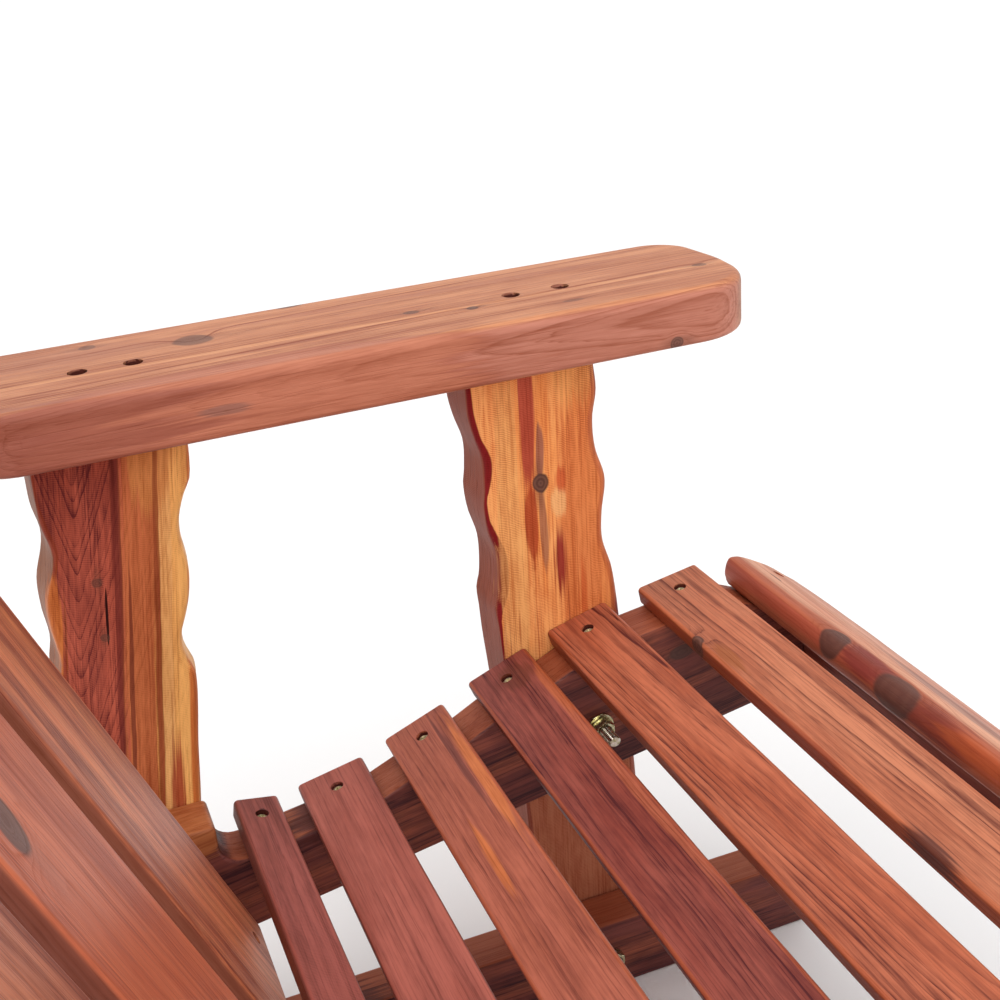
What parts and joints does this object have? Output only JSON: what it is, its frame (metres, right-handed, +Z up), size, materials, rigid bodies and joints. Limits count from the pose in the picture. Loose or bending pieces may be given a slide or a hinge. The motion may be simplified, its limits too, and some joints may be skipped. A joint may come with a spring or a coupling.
{
  "type": "porch swing seat",
  "caption": "Rustic cedar porch swing seat: contoured slatted seat, leaning board back, wide arms on live-edge supports, level lower rails and eye bolts for hanging",
  "frame": {"origin": "on the ground, under the middle of the seat's bounding box", "axes": "+X across the seat towards the sitter's left arm, -Y to the front, +Z up; the object stands on its lower rails at z = 0"},
  "size_m": [1.3278, 0.7804, 0.7756],
  "materials": {
    "arm_cedar": "sanded red cedar under a clear satin coat",
    "support_cedar": "live-edge red cedar slab with yellow sapwood under a clear satin coat",
    "rail_cedar": "darker red cedar under a clear satin coat",
    "slat_cedar": "red cedar with fine dark grain under a clear satin coat",
    "board_cedar": "red cedar with long pale and dark streaks under a clear satin coat",
    "zinc_steel": "yellow zinc plated steel"
  },
  "bodies": {
    "root": {"arm_left": "arm_cedar", "arm_right": "arm_cedar", "arm_support_front_left": "support_cedar", "arm_support_front_right": "support_cedar", "arm_support_rear_left": "support_cedar", "arm_support_rear_right": "support_cedar", "back_board_1": "board_cedar", "back_board_2": "board_cedar", "back_board_3": "board_cedar", "back_board_4": "board_cedar", "back_board_5": "board_cedar", "back_board_6": "board_cedar", "back_post_left": "rail_cedar", "back_post_right": "rail_cedar", "base_stretcher": "rail_cedar", "bolt_nut_foot_front_left": "zinc_steel", "bolt_nut_foot_front_right": "zinc_steel", "bolt_nut_foot_rear_left": "zinc_steel", "bolt_nut_foot_rear_right": "zinc_steel", "bolt_nut_rail_front_left": "zinc_steel", "bolt_nut_rail_front_right": "zinc_steel", "bolt_nut_rail_rear_left": "zinc_steel", "bolt_nut_rail_rear_right": "zinc_steel", "carriage_bolt_foot_front_left": "zinc_steel", "carriage_bolt_foot_front_right": "zinc_steel", "carriage_bolt_foot_rear_left": "zinc_steel", "carriage_bolt_foot_rear_right": "zinc_steel", "carriage_bolt_rail_front_left": "zinc_steel", "carriage_bolt_rail_front_right": "zinc_steel", "carriage_bolt_rail_rear_left": "zinc_steel", "carriage_bolt_rail_rear_right": "zinc_steel", "eye_bolt_front_left": "zinc_steel", "eye_bolt_front_right": "zinc_steel", "eye_bolt_nut_front_left": "zinc_steel", "eye_bolt_nut_front_right": "zinc_steel", "eye_bolt_nut_rear_left": "zinc_steel", "eye_bolt_nut_rear_right": "zinc_steel", "eye_bolt_rear_left": "zinc_steel", "eye_bolt_rear_right": "zinc_steel", "eye_bolt_washer_front_left": "zinc_steel", "eye_bolt_washer_front_right": "zinc_steel", "eye_bolt_washer_rear_left": "zinc_steel", "eye_bolt_washer_rear_right": "zinc_steel", "front_apron": "rail_cedar", "front_live_edge_slat": "slat_cedar", "lower_back_rail": "rail_cedar", "lower_rail_left": "rail_cedar", "lower_rail_right": "rail_cedar", "seat_rail_left": "rail_cedar", "seat_rail_middle": "rail_cedar", "seat_rail_right": "rail_cedar", "seat_slat_1": "slat_cedar", "seat_slat_2": "slat_cedar", "seat_slat_3": "slat_cedar", "seat_slat_4": "slat_cedar", "seat_slat_5": "slat_cedar", "seat_slat_6": "slat_cedar", "upper_back_rail": "rail_cedar"}
  },
  "joints": []
}
